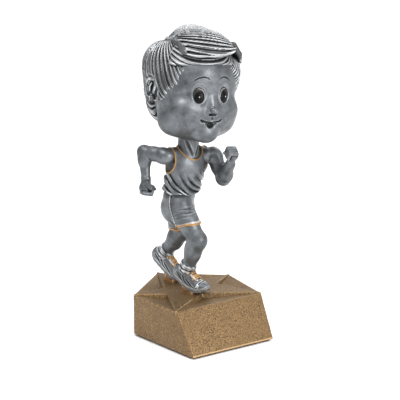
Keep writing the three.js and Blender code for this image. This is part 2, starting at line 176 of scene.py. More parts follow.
class Clay:
    """A block of signed distances that shapes are added to and carved from."""

    REACH = 2.6  # how far round a shape the block is worked
    FAR = 3.0    # the distance that empty space starts with

    def __init__(self, low, high, step):
        self.step = step * COARSE
        self.low = np.array(low, float)
        counts = np.ceil((np.array(high) - self.low) / self.step).astype(int) + 1
        self.axes = [(self.low[i] + self.step * np.arange(counts[i])).astype(np.float32) for i in range(3)]
        self.high = self.low + self.step * (counts - 1)
        self.d = np.full(counts, self.FAR, np.float32)
        self.core = None

    def twin(self):
        """An empty block on the same grid."""
        other = Clay(self.low, self.low, 1.0)
        other.step, other.low, other.high, other.axes = self.step, self.low, self.high, self.axes
        other.d = np.full(self.d.shape, self.FAR, np.float32)
        return other

    def window(self, low, high, reach):
        index = []
        for i in range(3):
            a = int((low[i] - reach - self.low[i]) / self.step)
            b = int((high[i] + reach - self.low[i]) / self.step) + 2
            index.append(slice(max(a, 0), max(min(b, self.d.shape[i]), 0)))
        x, y, z = (self.axes[i][index[i]] for i in range(3))
        return tuple(index), (x[:, None, None], y[None, :, None], z[None, None, :])

    def add(self, shape, k=0.0):
        index, grid = self.window(shape.low, shape.high, self.REACH + k)
        self.d[index] = smooth_min(self.d[index], shape(*grid), k)

    def pile(self, shapes, k):
        for shape in shapes:
            self.add(shape, k)

    def carve(self, shape, k=0.0):
        index, grid = self.window(shape.low, shape.high, self.REACH + k)
        self.d[index] = smooth_max(self.d[index], -shape(*grid), k)

    def grid(self):
        x, y, z = self.axes
        return x[:, None, None], y[None, :, None], z[None, None, :]

    def fill(self, field):
        self.d = np.broadcast_to(field(*self.grid()), self.d.shape).astype(np.float32)

    def set(self, distances):
        """Takes a whole grid of distances worked out elsewhere."""
        self.d = np.clip(distances, -self.FAR, self.FAR).astype(np.float32)

    def keep(self, field, k=0.0):
        """Keeps what is inside a field given as a function of the whole grid."""
        self.d = smooth_max(self.d, field(*self.grid()), k)

    def relief(self, height):
        """Raises the surface by a height, in mm, given as a function of place."""
        self.d = (self.d - height(*self.grid())).astype(np.float32)

    def harden(self):
        """Remembers the solid form, so that hollows made later don't read as thin edges."""
        self.core = self.d.copy()

    def sample(self, points, inner=False):
        d = self.core if inner and self.core is not None else self.d
        q = (np.asarray(points, np.float64) - self.low) / self.step
        q = np.clip(q, 0, np.array(self.d.shape) - 1.001)
        i = q.astype(int)
        f = (q - i).astype(np.float32)
        out = np.zeros(len(q), np.float32)
        for dx in (0, 1):
            for dy in (0, 1):
                for dz in (0, 1):
                    w = abs(1 - dx - f[:, 0]) * abs(1 - dy - f[:, 1]) * abs(1 - dz - f[:, 2])
                    out += w * d[i[:, 0] + dx, i[:, 1] + dy, i[:, 2] + dz]
        return out

    def hit(self, start, toward):
        """Where a line from outside meets the surface."""
        start, toward = np.array(start, float), unit(toward)
        t = np.arange(0, 60, 0.05)
        d = self.sample(start + t[:, None] * toward)
        inside = np.nonzero(d < 0)[0]
        return start + toward * (t[inside[0]] if len(inside) else t[np.argmin(d)])

    def front(self, x, z):
        return self.hit((x, self.axes[1][0], z), (0, 1, 0))

    def mesh(self, name, turn, origin):
        """The surface as a Blender object, with its relief stored for the wash and for the ridges' lightening,
        part wear and part painted highlight.
        """
        band = 3 * self.step
        edge = self.d.copy()
        for axis in range(3):
            view = np.moveaxis(edge, axis, 0)
            view[0] = view[-1] = band
        grid = vdb.FloatGrid(band)
        grid.copyFromArray(np.clip(edge, -band, band))
        points, quads = grid.convertToQuads(isovalue=0.0)
        points = self.low + points.astype(np.float64) * self.step
        points, quads = largest_shell(points, quads)
        normals = self.normals(points)
        relief = self.relief_at(points, normals)
        world = points @ turn.T + np.array(origin)
        return make_mesh(name, world, quads[:, ::-1], relief)

    def normals(self, points):
        h = self.step
        grads = [self.sample(points + h * e) - self.sample(points - h * e) for e in np.eye(3)]
        n = np.stack(grads, 1)
        return n / np.maximum(np.linalg.norm(n, axis=1, keepdims=True), 1e-9)

    def relief_at(self, points, normals):
        """0.5 on smooth ground, down to 0 in creases and up to 1 on ridges, fine and broad."""
        out = []
        for scales in ((0.35, 0.7), (1.1, 2.0)):
            open_ = np.mean([self.sample(points + normals * h) / h for h in scales], 0)
            solid = np.mean([-self.sample(points - normals * h, inner=True) / h for h in scales], 0)
            out.append(np.clip(0.5 + 0.5 * (np.clip(open_, -0.5, 1) - np.clip(solid, -0.5, 1)), 0, 1))
        return np.stack(out, 1)


def largest_shell(points, quads):
    """Drops loose crumbs: keeps the vertices joined to the biggest connected surface."""
    label = np.arange(len(points))
    for _ in range(200):
        before = label.copy()
        low_label = label[quads].min(1)
        for c in range(4):
            np.minimum.at(label, quads[:, c], low_label)
        label = label[label]
        if (label == before).all():
            break
    values, counts = np.unique(label[quads[:, 0]], return_counts=True)
    keep = values[counts.argmax()]
    quads = quads[label[quads[:, 0]] == keep]
    used, flat = np.unique(quads, return_inverse=True)
    return points[used], flat.reshape(quads.shape)


def make_mesh(name, points, faces, relief):
    mesh = bpy.data.meshes.new(name)
    mesh.from_pydata((points * MM).tolist(), [], faces.tolist())
    mesh.shade_smooth()
    layer = mesh.attributes.new("relief", "FLOAT_COLOR", "POINT")
    rgba = np.concatenate([relief, np.zeros((len(relief), 1)), np.ones((len(relief), 1))], 1)
    layer.data.foreach_set("color", rgba.astype(np.float32).ravel())
    obj = bpy.data.objects.new(name, mesh)
    bpy.context.scene.collection.objects.link(obj)
    return obj


def cast(
    clay, name, look, *nodes, slot="antique_pewter", body="figure", turn=np.eye(3), origin=(0, 0, 0)
):
    """Meshes a block of clay as one finished piece, in place of the CAD nodes named."""
    obj = clay.mesh(name, turn, origin)
    obj.data.materials.append(look)
    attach(obj, body)
    if nodes:
        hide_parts(*nodes)


IN_HEAD = {"body": "head", "turn": HEAD_TURN, "origin": HEAD_AT}


# ---- materials ------------------------------------------------------------------------------
class Look:
    """A small helper for building a node material."""

    def __init__(self, name):
        self.material = bpy.data.materials.new(name)
        self.material.use_nodes = True
        self.nodes = self.material.node_tree.nodes
        self.links = self.material.node_tree.links
        self.shader = next(n for n in self.nodes if n.type == "BSDF_PRINCIPLED")

    def feed(self, node, inputs):
        """Links or sets each of a node's inputs, by name or number."""
        for key, value in inputs.items():
            if isinstance(value, bpy.types.NodeSocket):
                self.links.new(value, node.inputs[key])
            else:
                node.inputs[key].default_value = value
        return node

    def node(self, kind, inputs=None, **settings):
        node = self.nodes.new("ShaderNode" + kind)
        for key, value in settings.items():
            setattr(node, key, value)
        return self.feed(node, inputs or {})

    def position(self):
        return self.node("TexCoord").outputs["Object"]

    def noise(self, scale, detail=4.0, roughness=0.6):
        inputs = {"Vector": self.position(), "Scale": scale, "Detail": detail, "Roughness": roughness}
        return self.node("TexNoise", inputs).outputs["Fac"]

    def ramp(self, value, low, high, to_low=0.0, to_high=1.0):
        inputs = {"Value": value, "From Min": low, "From Max": high, "To Min": to_low, "To Max": to_high}
        return self.node("MapRange", inputs, clamp=True).outputs["Result"]

    def mix(self, factor, a, b):
        return self.node("Mix", {0: factor, 6: a, 7: b}, data_type="RGBA").outputs[2]

    def math(self, operation, a, b):
        return self.node("Math", {0: a, 1: b}, operation=operation).outputs[0]

    def relief(self):
        node = self.node("Attribute", attribute_name="relief")
        parts = self.node("SeparateColor", {"Color": node.outputs["Color"]})
        return parts.outputs[0], parts.outputs[1]

    def set(self, **values):
        self.feed(self.shader, {key.replace("_", " "): value for key, value in values.items()})

    def bump(self, height, strength, distance):
        inputs = {"Height": height, "Strength": strength, "Distance": distance}
        self.set(Normal=self.node("Bump", inputs).outputs["Normal"])


def grey(v, tint=0.0):
    return (v * (1 - tint), v, v * (1 + tint), 1)


def antique(name, base, dark, bright, metal=0.6, rough=(0.38, 0.62), grime=(0.37, 0.505)):
    """Metallic paint with a dark wash left in the creases, lighter on the ridges: partly rubbed wear, partly
    painted highlight.
    """
    look = Look(name)
    fine, broad = look.relief()
    mottled = look.noise(260, 6, 0.65)
    cloudy = look.noise(60, 3, 0.5)
    wash = look.ramp(look.math("ADD", fine, look.ramp(cloudy, 0.3, 0.7, -0.04, 0.04)), *grime)
    broad_wash = look.ramp(broad, 0.22, 0.50, 0.35, 1.0)
    # the ridges' lighter colour is part rubbed wear and part painted highlight
    ridge = look.ramp(fine, 0.515, 0.61)
    tone = look.mix(look.ramp(mottled, 0.35, 0.65, 0.0, 0.3), base, dark)
    tone = look.mix(look.ramp(look.noise(170, 5, 0.7), 0.43, 0.70, 0.0, 0.6), tone, dark)
    tone = look.mix(ridge, tone, bright)
    tone = look.mix(look.math("MULTIPLY", wash, broad_wash), dark, tone)
    look.set(Base_Color=tone, Metallic=metal)
    look.set(Roughness=look.ramp(wash, 0.0, 1.0, rough[1], rough[0]))
    look.bump(look.noise(900, 4, 0.6), 0.10, 0.0002)
    return look.material


def speckled_bronze():
    look = Look("antique_bronze")
    fine, _ = look.relief()
    grain = look.noise(2300, 3, 0.75)
    patch = look.noise(70, 4, 0.6)
    tone = look.mix(look.ramp(grain, 0.41, 0.59), (0.050, 0.028, 0.011, 1), (0.32, 0.20, 0.088, 1))
    tone = look.mix(look.ramp(patch, 0.4, 0.7, 0.0, 0.45), tone, (0.16, 0.095, 0.042, 1))
    # lighter on the ridges: part worn edge, part painted highlight
    tone = look.mix(look.ramp(fine, 0.56, 0.72, 0.0, 0.85), tone, (0.60, 0.40, 0.20, 1))
    tone = look.mix(look.ramp(fine, 0.20, 0.42, 0.85, 0.0), tone, (0.03, 0.018, 0.009, 1))
    look.set(Base_Color=tone, Metallic=0.6, Roughness=look.ramp(patch, 0.3, 0.7, 0.36, 0.50))
    look.bump(grain, 0.25, 0.0002)
    return look.material


def plain(name, colour, metal, rough, scale=600, shine=0.5):
    """One colour, slightly mottled."""
    look = Look(name)
    grain = look.noise(scale, 4, 0.6)
    shade = tuple(c * 0.4 for c in colour[:3]) + (1,)
    look.set(Base_Color=look.mix(look.ramp(grain, 0.3, 0.7, 0.0, 0.3), colour, shade))
    look.set(Metallic=metal, Roughness=rough, Specular_IOR_Level=shine)
    look.bump(grain, 0.1, 0.0002)
    return look.material


# Each antique look: its colour, the wash in its creases, its ridges' lighter colour (part wear, part painted
# highlight).
PEWTER = antique("antique_pewter", grey(0.205, 0.07), grey(0.010, 0.06), grey(0.60, 0.03))
HAIR_PEWTER = antique(
    "hair_pewter", grey(0.19, 0.05), grey(0.008, 0.05), grey(0.44, 0.03), grime=(0.415, 0.525)
)
EYELID_PEWTER = antique(
    "eyelid_pewter", grey(0.03), grey(0.003), grey(0.30), metal=0.3, grime=(0.42, 0.53)
)
DARK_PEWTER = antique(
    "dark_pewter", grey(0.085, 0.02), grey(0.010), grey(0.24), metal=0.4, grime=(0.35, 0.48)
)
GOLD = antique(
    "antique_gold", (0.135, 0.068, 0.026, 1), (0.014, 0.007, 0.003, 1), (0.36, 0.21, 0.09, 1),
    grime=(0.42, 0.54),
)
# A lighter copy of the antique gold for the foot wedges: the extra lightness is painted reflection, standing in
# for the bright gold gleam on their faces.
LIT_GOLD = antique(
    "lit_gold", (0.34, 0.18, 0.065, 1), (0.04, 0.018, 0.008, 1), (0.70, 0.42, 0.19, 1)
)
BRONZE = speckled_bronze()
STEEL = plain("steel", grey(0.5), 1.0, 0.3)
PLASTIC = plain("black_plastic", grey(0.04), 0.0, 0.5)
FELT = plain("felt", grey(0.025), 0.0, 0.95, 3000)
EYE_BLACK = plain("eye_black", grey(0.0015), 0.0, 0.35, 600, 0.15)


# ---- head -----------------------------------------------------------------------------------
HEAD_STEP = 0.25
EYE = {"x": 6.25, "middle": 0.2, "z": -1.5, "half": (3.5, 4.45), "yaw": 21}
FACE = {"nose": -8.3, "mouth": -12.6}


def skull(clay):
    clay.add(Blob((0.6, 1.0, 3.2), (18.9, 18.0, 20.4)))
    clay.add(Blob((0.4, -2.2, -9.2), (17.6, 14.0, 12.8)), 3.0)
    clay.add(Blob((0, -4.5, 8.0), (12.5, 12.8, 9.5)), 3.0)
    for side in (-1, 1):
        clay.add(Blob((side * 9.2 + 0.3, -8.4, -8.2), (6.9, 6.2, 6.2)), 2.5)
        clay.add(Blob((side * 11.1 - 0.1, -2.5, -12.9), (6.0, 8.4, 6.0)), 2.5)
    clay.add(Blob((0.0, -10.6, -18.2), (5.4, 4.2, 4.1)), 2.5)


def nose(clay):
    bridge = clay.front(0.2, -3.0)
    tip = clay.front(0.2, FACE["nose"])
    clay.add(Bone(bridge + [0, 1.3, 0], tip + [0, 0.3, 1.0], 1.3, 1.5), 1.6)
    clay.add(Blob(tip + [0, -0.9, 0.1], (1.95, 2.05, 1.5)), 0.5)
    for side in (-1, 1):
        clay.add(Blob(tip + [side * 1.5, 0.2, -0.4], (1.1, 1.1, 0.9)), 0.4)
        clay.carve(Blob(tip + [side * 0.8, -0.8, -1.5], (0.5, 0.7, 0.35)), 0.2)
    clay.carve(Bone(tip + [-1.4, 0.1, -1.5], tip + [1.4, 0.1, -1.5], 0.35), 0.5)


def brow(clay, side):
    line = [(2.0, 4.6), (3.2, 5.6), (4.8, 6.1), (6.6, 5.9), (8.3, 5.0), (9.4, 3.9)]
    points = [clay.front(side * x + 0.5, z) for x, z in line]
    clay.carve(Chain(points, [0.1, 0.2, 0.24, 0.24, 0.2, 0.1]), 0.08)


def mouth(clay):
    def line(spots, out=0.0):
        return [clay.front(x, z) + [0, -out, 0] for x, z in spots]

    low = FACE["mouth"]
    upper = line([(-3.8, low - 0.2), (-2.0, low - 0.6), (0, low - 0.8), (2.0, low - 0.6), (3.8, low - 0.2)])
    hollow = line([(-2.1, low - 1.2), (-0.5, low - 1.9), (0.5, low - 1.9), (2.1, low - 1.2)])
    corners = [line([(side * 4.2, low - 0.1), (side * 5.0, low + 0.4)]) for side in (-1, 1)]
    philtrum = line([(0.1, low + 1.7), (0.1, low + 0.4)], 0.2)
    clay.carve(Chain(upper, [0.3, 0.4, 0.4, 0.4, 0.3]), 0.2)
    clay.carve(Chain(hollow, [0.75, 1.4, 1.4, 0.75], 0.3), 0.12)
    for pair in corners:
        clay.carve(Chain(pair, [0.5, 0.3]), 0.4)
    clay.carve(Chain(philtrum, [0.3, 0.4]), 0.4)


def build_head():
    clay = Clay((-22, -23, -25), (22, 22, 26), HEAD_STEP)
    skull(clay)
    eyes = {side: clay.front(side * EYE["x"] + EYE["middle"], EYE["z"]) for side in (-1, 1)}
    nose(clay)
    mouth(clay)
    for side in (-1, 1):
        brow(clay, side)
        turn = rotation(side * EYE["yaw"])
        half = EYE["half"]
        clay.add(Blob(eyes[side] + [0, 0.75, 0], (half[0] + 0.45, 1.1, half[1] + 0.45), turn), 0.4)
        clay.carve(Blob(eyes[side] + [0, -0.7, 0], (half[0], 1.6, half[1]), turn), 0.15)
    neck_axis = HEAD_TURN.T @ (PIVOT - HEAD_AT)
    down = HEAD_TURN.T @ np.array([0, 0, -1.0])
    clay.carve(Bone(neck_axis + down * -6.0, neck_axis + down * 16, 6.3), 0.4)
    cast(clay, "head_casting", PEWTER, "head", **IN_HEAD)
    dark = Clay((-5, -22, -18), (5, -8, -12), 0.2)
    dark.add(Blob(clay.front(0, FACE["mouth"] - 1.8) + [0.2, 0.2, 0], (3.0, 0.9, 1.6)))
    cast(dark, "mouth_shadow", EYE_BLACK, slot="eye_black", **IN_HEAD)
    return eyes


def build_eye(name, side, spot):
    """Lid folds round a low black pupil with a small catchlight."""
    turn = rotation(side * EYE["yaw"])
    half = EYE["half"]

    def place(x, y, z):
        return spot + turn @ np.array([x, y + 0.055 * x * x + 0.03 * z * z, z])

    lids = Clay(spot - 6.0, spot + 6.0, 0.11)
    lids.add(Blob(spot + [0, 1.5, 0], (half[0] - 0.1, 1.6, half[1] - 0.1), turn))
    for scale, drop, lift in ((0.9, 0.1, 0.1), (0.72, 0.5, 0.0), (0.56, 0.7, -0.1)):
        arc = []
        for t in np.linspace(-0.25, math.pi + 0.25, 17):
            arc.append(place(half[0] * scale * math.cos(t), -lift, half[1] * scale * math.sin(t) - drop))
        lids.add(Chain(arc, [0.08] + [0.2] * 15 + [0.08]), 0.08)
    turns = np.linspace(0, 2 * math.pi, 33)
    rim = [place(half[0] * 0.92 * math.cos(t), 0.0, half[1] * 0.92 * math.sin(t)) for t in turns]
    lids.add(Chain(rim, 0.17), 0.1)
    cast(lids, name + "_lids", EYELID_PEWTER, **IN_HEAD)

    pupil = Clay(spot - 5.0, spot + 5.0, 0.13)
    pupil.add(Blob(place(0, 0.35, -0.8), (2.35, 0.8, 2.85), turn))
    cast(pupil, name + "_pupil", EYE_BLACK, name, slot="eye_black", **IN_HEAD)

    glint = Clay(spot - 4.0, spot + 4.0, 0.06)
    glint.add(Blob(place(0.1, -0.45, -0.8), (0.26, 0.2, 0.28), turn))
    cast(glint, name + "_catchlight", PEWTER, **IN_HEAD)


def build_ear(name, side):
    """A helix rim and lobe round a deep bowl with its inner fold."""
    spot = np.array([side * 19.0, 2.6, 1.2])
    out = rotation(-side * 34)

    def place(u, v, n):
        return spot + out @ np.array([side * n, u - 0.18 * v, v])

    ear = Clay(spot - 7.5, spot + 7.5, 0.16)
    ear.add(Chain([place(0, 2.0, -1.6), place(0, -2.4, -1.8)], [2.8, 2.0]))
    helix = [
        (-1.7, -0.6), (-2.1, 1.4), (-1.6, 3.3), (0.0, 4.4), (1.9, 3.9), (2.8, 2.0), (2.7, -0.3),
        (1.9, -2.6), (0.4, -4.1),
    ]
    widths = [0.5, 0.6, 0.7, 0.75, 0.75, 0.75, 0.7, 0.7, 0.9]
    ear.add(Chain([place(u, v, 0.9) for u, v in helix], widths, 0.3), 0.5)
    ear.add(Blob(place(-0.5, -4.0, 0.4), (0.9, 1.3, 1.3)), 0.6)
    ear.carve(Chain([place(0.3, 2.3, 1.2), place(0.2, -1.7, 1.2)], [1.45, 1.3]), 0.3)
    ear.add(Chain([place(0.4, 2.5, 0.2), place(1.0, 0.8, 0.5), place(0.7, -0.9, 0.3)], [0.32, 0.4, 0.3]), 0.3)
    ear.add(Blob(place(-1.6, -1.3, 0.9), (0.7, 0.6, 0.9)), 0.3)
    cast(ear, name + "_casting", PEWTER, name, **IN_HEAD)


# ---- hair -----------------------------------------------------------------------------------
PARTING = np.array([-10.4, 4.0, 23.0])   # in the head's frame: where the combed top meets the side
TIP_ROOT = np.array([17.2, -8.0, 19.0])  # where the combed top ends, over the left temple
CROWN = np.array([-3.0, 9.0, 24.0])
STRANDS = {"right": 52, "left": 42, "back": 46, "band": 64, "top": 58}


def ridges(phase, spread):
    """Uneven combed strands from a phase, as heights in mm."""
    wide = (np.sin(phase / 2) ** 2 + 0.012) ** 0.38
    fine = (np.sin(phase * 1.3 + 0.7 * np.sin(spread)) ** 2 + 0.03) ** 0.38
    return 0.95 * wide + 0.35 * fine


def fan(X, Y, Z, pole, count, twist=0.3):
    """Strands that run away from a pole over the head."""
    axis = unit(pole)
    side = unit(np.cross(axis, [0, 1, 0]))
    fore = np.cross(axis, side)
    u = X * side[0] + Y * side[1] + Z * side[2]
    v = X * fore[0] + Y * fore[1] + Z * fore[2]
    w = X * axis[0] + Y * axis[1] + Z * axis[2]
    radius = np.sqrt(u * u + v * v)
    away = np.arctan2(radius, w)
    angle = np.arctan2(v, u) + twist * np.sin(1.6 * away)
    phase = angle * count + 1.6 * np.sin(3 * angle + 1.3 * away) + 0.9 * np.sin(7 * angle - 2.6 * away)
    return ridges(phase, 5 * angle + 2 * away) * np.clip(radius / 6.0, 0.15, 1)


def sweep(X, Y, Z, start, end, count):
    """Strands that run from one point to another, like lines of longitude."""
    line = end - start
    reach = np.linalg.norm(line)
    line = line / reach
    up = np.array([0, 0, 1.0])
    up = unit(up - line * (up @ line))
    fore = np.cross(up, line)
    x, y, z = X - start[0], Y - start[1], Z - start[2]
    along = (x * line[0] + y * line[1] + z * line[2]) / reach
    u = x * fore[0] + y * fore[1] + z * fore[2]
    v = x * up[0] + y * up[1] + z * up[2]
    angle = np.arctan2(v, u)
    phase = angle * count + 1.4 * np.sin(2.6 * along + 2.0 * angle) + 1.0 * np.sin(5 * angle - 3.2 * along)
    return ridges(phase, 6 * angle + 3 * along) * np.clip(np.sqrt(u * u + v * v) / 5.0, 0.2, 1)


def step(x, a, b):
    t = np.clip((x - a) / (b - a), 0, 1)
    return t * t * (3 - 2 * t)


def side_strands(X, Y, Z):
    right = step(X, -3, -9)
    left = step(X, 5, 11)
    heights = right * fan(X, Y, Z, PARTING, STRANDS["right"]) + left * fan(X, Y, Z, TIP_ROOT, STRANDS["left"])
    return heights + (1 - right - left) * fan(X, Y, Z, CROWN, STRANDS["back"])


def hairline(X, Y, Z):
    """Negative where hair covers the skull: over the brow line, behind the temples, above the nape."""
    z = [-16.0, -13.5, -9.0, -4.6, -3.6, -1.0, 1.4, 5.7, 9.5, 11.0, 11.4]
    y = [14.0, 9.5, 8.0, 7.5, -3.0, -6.4, -8.8, -11.6, -13.0, -14.0, -40.0]
    ragged = 0.7 * np.sin(0.8 * Z + 0.3 * X) - 1.1 * (side_strands(X, Y, Z) - 0.8)
    edge = np.interp(Z.ravel(), z, y).reshape(Z.shape).astype(np.float32) + ragged
    return (edge - Y) * 0.6


def lip_height(X, Y):
    """The lower edge of the combed top: lowest over the brow, rising to both ends."""
    right = np.clip(-X - 7.0, 0, None)
    left = np.clip(X, 0, None)
    return 14.3 + 0.11 * right**1.6 + 0.020 * left**1.9 + 0.04 * np.clip(Y + 12, 0, None) ** 1.4


def below_lip(X, Y, Z):
    """Positive under the combed top's lip and right of its parting."""
    return np.maximum(lip_height(X, Y) - Z, -11.6 - X + 0.16 * np.clip(Y + 2.0, 0, None))


def combed(X, Y, Z):
    back = step(Y, 3, 9)
    over = sweep(X, Y, Z, PARTING, TIP_ROOT, STRANDS["top"])
    return (1 - back) * over + back * fan(X, Y, Z, CROWN, STRANDS["back"]) - 0.8


def build_hair():
    """Side and back hair, the band under the fringe, and the combed top with its curled tip."""
    low_corner, high_corner = (-25, -26, -20), (26, 28, 35)
    sides = Clay(low_corner, high_corner, HEAD_STEP)
    sides.add(Blob((0.4, 3.2, 4.4), (20.2, 19.8, 19.6)))
    sides.add(Blob((-9.5, 4.5, 11.0), (11.0, 12.5, 11.5)), 2.0)
    sides.add(Blob((12.0, 0.5, 8.0), (9.0, 13.5, 12.0)), 2.0)
    sides.add(Blob((0.4, 8.5, -4.5), (17.4, 13.0, 12.4)), 2.0)
    sides.relief(lambda X, Y, Z: side_strands(X, Y, Z) - 0.9)
    sides.keep(hairline, 1.6)
    for side in (-1, 1):
        sides.carve(Blob((side * 21.2, 2.4, 1.0), (4.9, 4.6, 6.2)), 0.5)

    band = Clay(low_corner, high_corner, HEAD_STEP)
    band.add(Blob((0.6, 0.2, 5.2), (18.8, 18.1, 20.2)))
    band.relief(lambda X, Y, Z: 0.6 * sweep(X, Y, Z, PARTING, TIP_ROOT, STRANDS["band"]) - 0.45)
    band.keep(lambda X, Y, Z: np.maximum(10.7 - Z, Y + 4.0), 1.8)

    top = Clay(low_corner, high_corner, HEAD_STEP)
    top.add(Blob((1.6, -1.6, 13.6), (15.9, 18.4, 13.1)))
    top.add(Blob((-0.3, 1.6, 18.2), (10.6, 11.0, 10.1)), 2.0)
    top.relief(combed)
    top.relief(lambda X, Y, Z: 0.75 * np.exp(-((below_lip(X, Y, Z) + 0.7) ** 2) / 0.5))
    top.keep(below_lip, 1.2)
    for off in (-1.3, 0.0, 1.3):
        tip = (17.6 - 0.2 * off, -10.6 + 0.4 * off, 11.8)
        curl = [(13.8, -9.6 + off, 19.4), (16.6, -9.9 + off, 15.6), tip]
        top.add(Chain(curl, [1.6, 1.2, 0.3], 0.5), 0.3)

    sides.d = np.minimum(np.minimum(sides.d, band.d), top.d)
    cast(sides, "hair_casting", HAIR_PEWTER, "hair", **IN_HEAD)


eye_spots = build_head()
build_hair()
for label, which in (("right", -1), ("left", 1)):
    build_eye(label + "_eye", which, eye_spots[which])
    build_ear(label + "_ear", which)


# ---- body -----------------------------------------------------------------------------------
LEGS = rotation(20)
LEGS_SIN, LEGS_COS = 0.342, 0.940
TORSO = rotation(5)
BODY_STEP = 0.22


def points(node, *fractions):
    return [at(node, *f) for f in fractions]


RIGHT_LEG = points("right_leg", (.41, .73, .84), (.63, .234, .44), (.556, .386, .19), (.462, .571, -.076))
LEFT_LEG = points("left_leg", (.456, .336, .84), (.612, .275, .443), (.437, .631, .206), (.223, 1.0, -.028))
RIGHT_ARM = points("right_arm", (.62, .27, .733), (.24, .80, .78), (.178, .654, .103))
LEFT_ARM = points("left_arm", (.60, .72, .77), (.80, .488, .197), (.646, .111, .669))


class Tube:
    """A flat-ended cone."""

    def __init__(self, a, b, ra, rb=None):
        self.a, self.b = np.array(a, float), np.array(b, float)
        self.ra, self.rb = ra, ra if rb is None else rb
        self.low = np.minimum(self.a, self.b) - max(self.ra, self.rb)
        self.high = np.maximum(self.a, self.b) + max(self.ra, self.rb)

    def __call__(self, X, Y, Z):
        length = np.linalg.norm(self.b - self.a)
        n = (self.b - self.a) / length
        x, y, z = X - self.a[0], Y - self.a[1], Z - self.a[2]
        t = x * n[0] + y * n[1] + z * n[2]
        r = np.sqrt(np.maximum(x * x + y * y + z * z - t * t, 0))
        side = r - (self.ra + (self.rb - self.ra) * np.clip(t / length, 0, 1))
        return np.maximum(side, np.abs(t - length / 2) - length / 2).astype(np.float32)


def clay_round(things, margin=1.5, grid=BODY_STEP):
    low_corner = np.min([s.low for s in things], 0) - margin
    high_corner = np.max([s.high for s in things], 0) + margin
    return Clay(low_corner, high_corner, grid)


def lerp(a, b, t):
    return a + (b - a) * t


def across(a, b, toward):
    """The part of a direction that is square to the line a to b."""
    n, toward = unit(b - a), np.array(toward, float)
    return unit(toward - n * (n @ toward))


def build_leg(name, joints):
    hip, knee, shin, ankle = joints
    front = LEGS @ np.array([0, -1.0, 0])
    thigh_front, shin_front = across(hip, knee, front), across(knee, ankle, front)
    calf = lerp(knee, ankle, 0.34) - shin_front * 0.5
    shapes = [
        Chain([hip, knee], [4.7, 3.8]),
        Blob(lerp(hip, knee, 0.5) + thigh_front * 0.2, (4.0, 4.0, 5.5)),
        Blob(knee + shin_front * 0.7 - [0, 0, 0.6], (3.3, 3.3, 3.4)),
        Chain([knee, shin, ankle], [3.8, 3.5, 2.6]),
        Blob(calf, (3.7, 3.7, 5.4)),
    ]
    clay = clay_round(shapes)
    clay.pile(shapes, 1.8)
    cast(clay, name + "_leg_casting", PEWTER, name + "_leg")


def build_arm(name, joints, forearm=1.0):
    shoulder, elbow, wrist = joints
    out = np.array([-1.0 if name == "right" else 1.0, 0, 0])
    back = across(shoulder, elbow, [0, 1, 0.3])
    shapes = [
        Chain([shoulder, elbow], [3.4, 2.9]),
        Bone(shoulder, shoulder - out * 3.5 + [0, 0, 0.2], 3.2),
        Blob(lerp(shoulder, elbow, 0.14) + out * 0.5, (3.5, 3.8, 3.7)),
        Blob(lerp(shoulder, elbow, 0.55), (3.1, 3.6, 3.2)),
        Blob(elbow, (2.9, 2.9, 2.9)),
        Chain([elbow, wrist], [2.8 * forearm, 2.0 * forearm]),
        Blob(lerp(elbow, wrist, 0.30), np.array([3.1, 3.1, 3.6]) * forearm),
    ]
    clay = clay_round(shapes, grid=0.2)
    clay.pile(shapes, 1.1)
    inner = across(elbow, wrist, shoulder - elbow)
    fold = elbow + inner * 2.3 + across(shoulder, elbow, wrist - elbow) * 1.6
    clay.carve(Bone(fold - [0, 0, 1.5], fold + [0, 0, 1.5], 0.35), 0.5)
    cast(clay, name + "_arm_casting", PEWTER, name + "_arm")


def build_fist(name, wrist, knuckles, back, thumb, size=1.0):
    """A closed hand: along runs from the wrist to the knuckles, back is the back of the hand."""
    centre = at(name + "_hand", 0.5, 0.5, 0.5)
    along = unit(knuckles)
    b = across(centre, centre + along, back)
    c = np.cross(along, b)
    c = c if c @ np.array(thumb, float) > 0 else -c

    def spot(u, v, w):
        return centre + (along * u + b * v + c * w) * size

    clay = Clay(centre - 8.0, centre + 8.0, 0.16)
    clay.add(Blob(spot(0, 0.5, 0), np.array([2.4, 2.6, 2.6]) * size))
    clay.add(Bone(spot(-1.4, 0, 0), wrist, 1.9 * size, 2.05 * size), 0.9)
    for i in range(4):
        off = (1.5 - i) * 1.35
        r = (0.98, 1.02, 0.98, 0.85)[i] * size
        finger = [spot(1.9, 1.5, off), spot(2.3 - 0.12 * i, -1.6, off), spot(-0.5, -2.3, off * 0.95)]
        clay.add(Chain(finger, [r * 0.95, r * 0.9, r * 0.8]), 0.12)
    thumb_line = [spot(-1.9, 0, 1.9), spot(-0.2, -1.2, 2.7), spot(0.4, -3.1, 1.2)]
    clay.add(Chain(thumb_line, [1.15 * size, 0.95 * size, 0.75 * size]), 0.15)
    cast(clay, name + "_hand_casting", PEWTER, name + "_hand")


def torso_shapes(grow=0.0):
    chest, belly, waist, right, left = points(
        "singlet",
        (.513, .40, .62), (.474, .492, .32), (.442, .567, .104), (.162, .433, .857), (.893, .344, .814),
    )
    return [
        Blob(chest, np.array([10.0, 7.0, 9.2]) + grow, TORSO),
        Blob(belly, np.array([9.0, 7.1, 9.2]) + grow, TORSO),
        Blob(waist, np.array([8.9, 7.5, 4.6]) + grow, LEGS),
        Bone(right, left, 3.3 + grow),
    ]


def neckline(grow=0.0):
    return Blob(at("singlet", .538, .20, 1.056), np.array([5.7, 7.4, 6.8]) + grow, TORSO)


def armholes():
    right, left = points("singlet", (.01, .433, .80), (1.056, .333, .753))
    return [Blob(right, (2.3, 4.9, 6.3), TORSO), Blob(left, (1.9, 4.7, 6.2), TORSO)]


WAIST_Z = at("shorts", 0, 0, 1.0)[2] + 0.3


def across_waist(X, Y):
    """How far a point lies to the figure's left and front, where the singlet's swags start."""
    return 0.83 * X - 0.56 * Y


def singlet_hem(X, Y):
    lateral = across_waist(X, Y)
    return WAIST_Z + 0.9 - 0.09 * (lateral + 5) + 0.25 * np.sin(0.8 * lateral)


